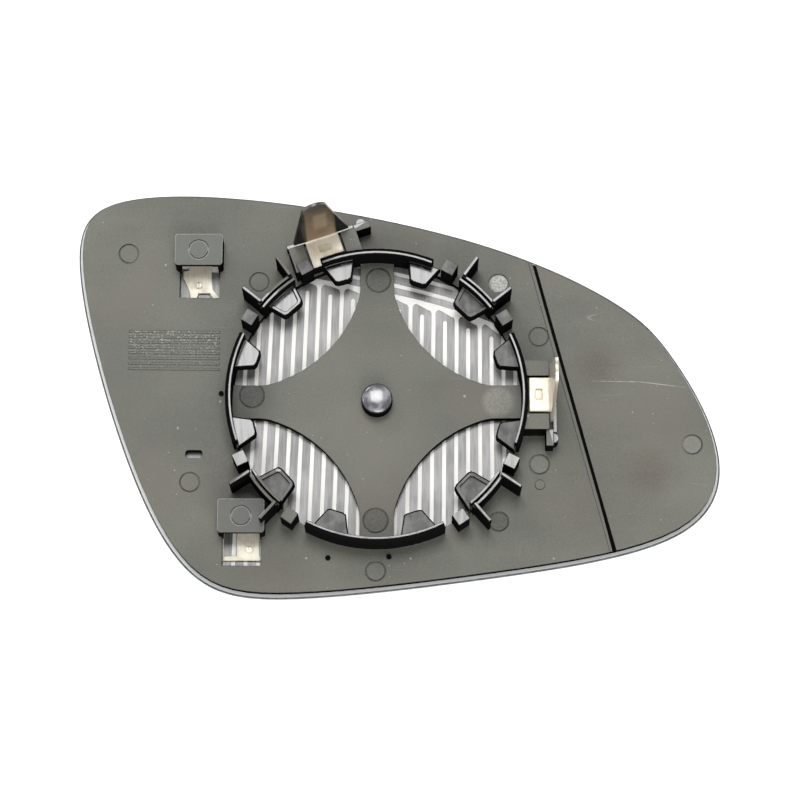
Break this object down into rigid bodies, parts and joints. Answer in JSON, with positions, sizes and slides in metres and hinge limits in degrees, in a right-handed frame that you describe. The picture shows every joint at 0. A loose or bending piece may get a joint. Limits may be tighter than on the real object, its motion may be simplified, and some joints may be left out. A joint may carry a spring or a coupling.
{
  "type": "car door mirror glass",
  "caption": "Heated aspheric door mirror glass lying face down, with a moulded backing plate, clip ring, pivot boss, star-shaped web and tall plug-in contact blades.",
  "frame": {"origin": "under the middle of the glass outline, at the lowest point of the convex mirror face", "axes": "+X towards the wide-angle outer end of the glass, +Y towards its upper edge, +Z out of the back of the plate"},
  "size_m": [0.17, 0.11, 0.0418],
  "materials": {
    "mirror": "polished glass, silvered, with a ground edge",
    "foil": "white polyester heater foil",
    "track": "etched conductor, satin",
    "plate": "black ABS, spark-eroded flats and polished walls",
    "blade": "tin-plated brass",
    "terminal": "tinned brass with a cream cast",
    "rivet": "tinned, punched"
  },
  "bodies": {
    "root": {"mirror_glass": "mirror", "heater_film": "foil", "heater_track": "track", "backing_plate": "plate", "top_contact_blade": "blade", "right_contact_blade": "blade", "upper_left_terminal": "terminal", "lower_left_terminal": "terminal", "upper_left_rivet": "rivet", "lower_left_rivet": "rivet"}
  },
  "joints": []
}
